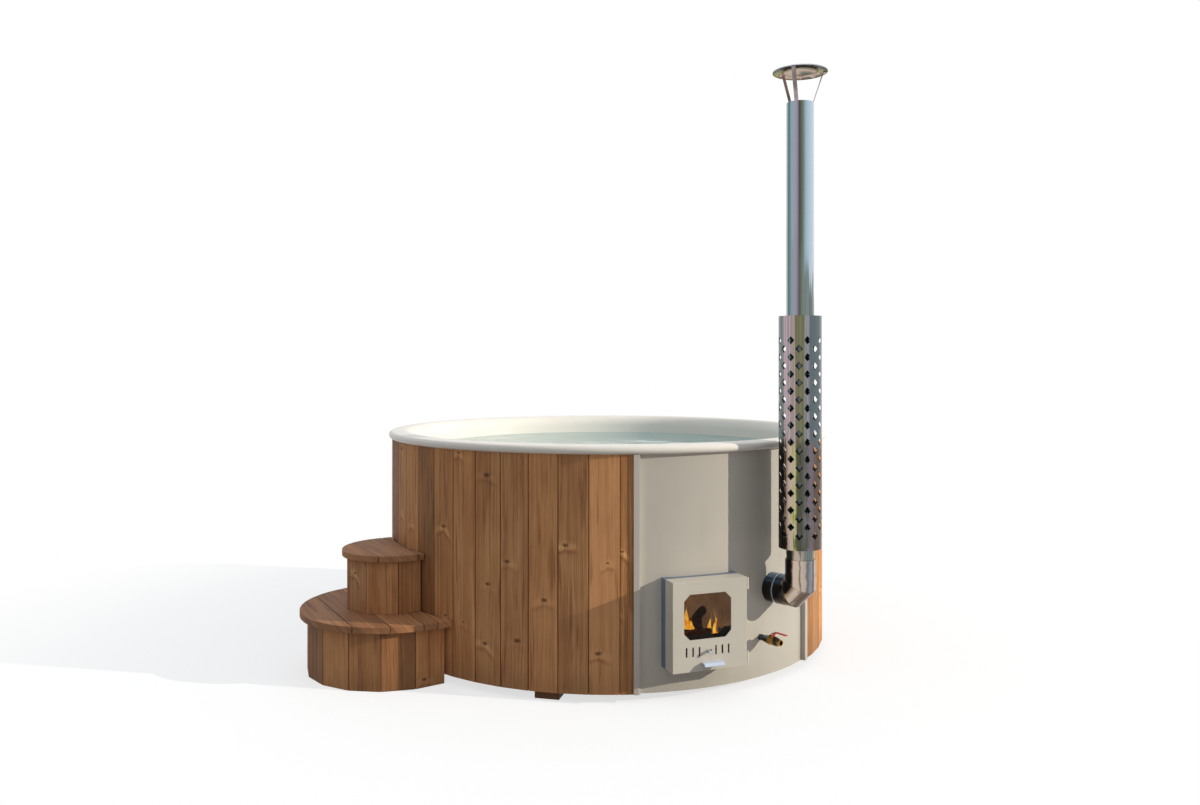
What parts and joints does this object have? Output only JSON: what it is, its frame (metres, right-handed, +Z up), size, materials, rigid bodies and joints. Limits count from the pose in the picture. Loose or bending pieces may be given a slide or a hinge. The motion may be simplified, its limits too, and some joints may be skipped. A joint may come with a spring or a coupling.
{
  "type": "wooden hot tub with stove",
  "caption": "Round wood-clad hot tub with a moulded liner and bench, a built-in wood stove with chimney, a drain valve and a round two-tread step.",
  "frame": {"origin": "where the tub's vertical axis meets the ground", "axes": "+Z up; -Y towards the middle of the metal front panel; +X to the right of someone who faces the panel, so the step is at -X"},
  "size_m": [2.4368, 2.2281, 2.419],
  "materials": {
    "stained_wood": "satin",
    "frame_timber": "matte",
    "plywood": "matte",
    "panel_paint": "satin",
    "liner_shell": "gloss",
    "stove_steel": "satin",
    "fire_iron": "matte",
    "door_paint": "satin",
    "frame_paint": "satin",
    "bright_steel": "polished",
    "collar_steel": "gloss",
    "valve_brass": "satin",
    "black_plastic": "matte",
    "red_paint": "satin",
    "fire_glass": "gloss",
    "seal_rope": "matte"
  },
  "bodies": {
    "tub": {"base_beam_centre": "frame_timber", "base_beams_side": "frame_timber", "base_deck": "plywood", "floor_joists": "frame_timber", "bench_posts": "frame_timber", "frame_posts": "frame_timber", "ring_middle": "plywood", "ring_upper": "plywood", "cladding_left": "stained_wood", "cladding_rear_left": "stained_wood", "cladding_rear": "stained_wood", "cladding_rear_right": "stained_wood", "cladding_right": "stained_wood", "cladding_edge_strips": "stained_wood", "front_panel": "panel_paint", "tub_liner": "liner_shell", "circulation_pipes": "stove_steel", "circulation_grilles": "liner_shell", "boiler_jacket": "stove_steel", "boiler_bearers": "fire_iron", "firebox_shell": "stove_steel", "smoke_baffle": "fire_iron", "fire_grate": "fire_iron", "ash_pan": "fire_iron", "door_frame": "frame_paint", "frame_hinge_barrels": "frame_paint", "hinge_pins": "stove_steel", "flue_spigot": "stove_steel", "flue_collar": "collar_steel", "flue_band": "bright_steel", "flue_elbow": "bright_steel", "flue_pipe": "bright_steel", "heat_shield": "bright_steel", "shield_spacers": "bright_steel", "cap_straps": "bright_steel", "chimney_cap": "bright_steel", "drain_nipple": "collar_steel", "drain_reducer": "collar_steel", "valve_body": "valve_brass", "valve_nut": "black_plastic", "valve_outlet": "valve_brass", "step_lower_risers": "stained_wood", "step_upper_risers": "stained_wood", "step_ribs": "plywood", "step_lower_tread": "stained_wood", "step_upper_tread": "stained_wood"},
    "stove_door": {"door_pan": "door_paint", "door_inner_plate": "stove_steel", "door_glass": "fire_glass", "glass_clips": "stove_steel", "door_seal": "seal_rope", "door_pull": "door_paint", "door_hinge_barrels": "frame_paint", "slide_guides": "stove_steel"},
    "air_slide": {"air_slide_plate": "stove_steel", "air_knob": "bright_steel"},
    "drain_lever": {"valve_ball": "bright_steel", "valve_stem": "valve_brass", "valve_lever": "red_paint", "lever_nut": "bright_steel"}
  },
  "joints": [
    {"name": "stove_door_hinge", "type": "hinge", "parent": "tub", "child": "stove_door", "pos_m": [-0.02733, -1.07515, 0.2985], "axis": [0, 0, 1], "range_deg": [0, 105]},
    {"name": "air_slide_travel", "type": "slide", "parent": "stove_door", "child": "air_slide", "axis": [0.9842, -0.1771, 0], "range_m": [0, 0.0135]},
    {"name": "drain_lever_turn", "type": "hinge", "parent": "tub", "child": "drain_lever", "pos_m": [0.12296, -1.0467, 0.19], "axis": [0, 0, 1], "range_deg": [0, 90]}
  ]
}
